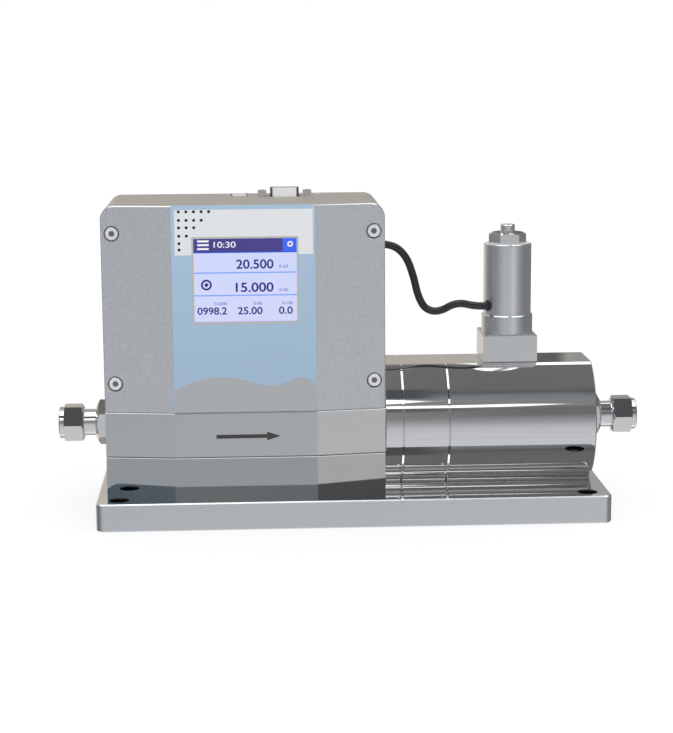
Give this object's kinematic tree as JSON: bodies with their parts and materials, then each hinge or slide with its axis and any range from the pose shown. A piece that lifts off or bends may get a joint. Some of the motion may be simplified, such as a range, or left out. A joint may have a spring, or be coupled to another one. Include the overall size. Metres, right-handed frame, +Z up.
{
  "type": "coriolis mass flow meter with control valve",
  "caption": "Coriolis mass flow meter on a base plate: faceted housing with display, round steel rings, control valve with coil and cable, and tube fittings at both ends.",
  "frame": {"origin": "middle of the base plate's underside", "axes": "+X along the flow, towards the outlet; +Y to the back, away from the display; +Z up"},
  "size_m": [0.322, 0.12, 0.176],
  "materials": {
    "plate_metal": "bead blasted edges, lapped top",
    "block_steel": "polished",
    "cast_grey": "fine cast texture",
    "label_film": "printed film",
    "screen": "clear pane over a lit display",
    "polished_steel": "mirror polished",
    "satin_steel": "satin",
    "screw_steel": "bright",
    "black_plastic": "moulded",
    "board_green": "solder mask",
    "copper": "enamelled wire",
    "seal_rubber": "matt",
    "cable_jacket": "smooth matt"
  },
  "bodies": {
    "meter": {"base_plate": "plate_metal", "base_block": "block_steel", "flow_body": "satin_steel", "housing_shell": "cast_grey", "rear_cover": "cast_grey", "cover_screws": "screw_steel", "foot_screws": "screw_steel", "flow_body_screws": "screw_steel", "base_screws": "screw_steel", "tie_screws": "screw_steel", "front_label": "label_film", "display_window": "screen", "display_module": "black_plastic", "display_board": "board_green", "display_screws": "screw_steel", "main_board": "board_green", "board_screws": "screw_steel", "dsub_shell": "polished_steel", "dsub_insulator": "black_plastic", "dsub_jack_screws": "screw_steel", "connector_board": "board_green", "usb_receptacle": "polished_steel", "usb_tongue": "black_plastic", "top_screw": "screw_steel", "front_sensor_tube": "polished_steel", "rear_sensor_tube": "polished_steel", "tube_braces": "satin_steel", "drive_magnet": "satin_steel", "drive_coil": "copper", "pickoff_magnets": "satin_steel", "pickoff_coils": "copper", "adapter_ring": "polished_steel", "coupling_ring": "polished_steel", "valve_body": "polished_steel", "ring_seals": "seal_rubber", "guide_seal": "seal_rubber", "valve_block": "satin_steel", "valve_collar": "satin_steel", "coil_can": "satin_steel", "coil_bobbin": "black_plastic", "coil_winding": "copper", "coil_nut": "polished_steel", "guide_tube": "satin_steel", "valve_seat": "satin_steel", "plunger_spring": "screw_steel", "cable_grommet": "black_plastic", "coil_grommet": "black_plastic", "valve_cable": "cable_jacket", "inlet_fitting": "polished_steel", "inlet_nut": "polished_steel", "inlet_front_ferrule": "satin_steel", "inlet_back_ferrule": "satin_steel", "inlet_seal": "seal_rubber", "outlet_fitting": "polished_steel", "outlet_nut": "polished_steel", "outlet_front_ferrule": "satin_steel", "outlet_back_ferrule": "satin_steel", "outlet_seal": "seal_rubber"},
    "plunger": {"valve_plunger": "satin_steel", "plunger_seal": "seal_rubber"}
  },
  "joints": [
    {"name": "plunger_lift", "type": "slide", "parent": "meter", "child": "plunger", "axis": [0, 0, 1], "range_m": [0, 0.0008], "stiffness_N_per_m": 500, "springref_m": -0.002, "deforming": ["plunger_spring"]}
  ]
}
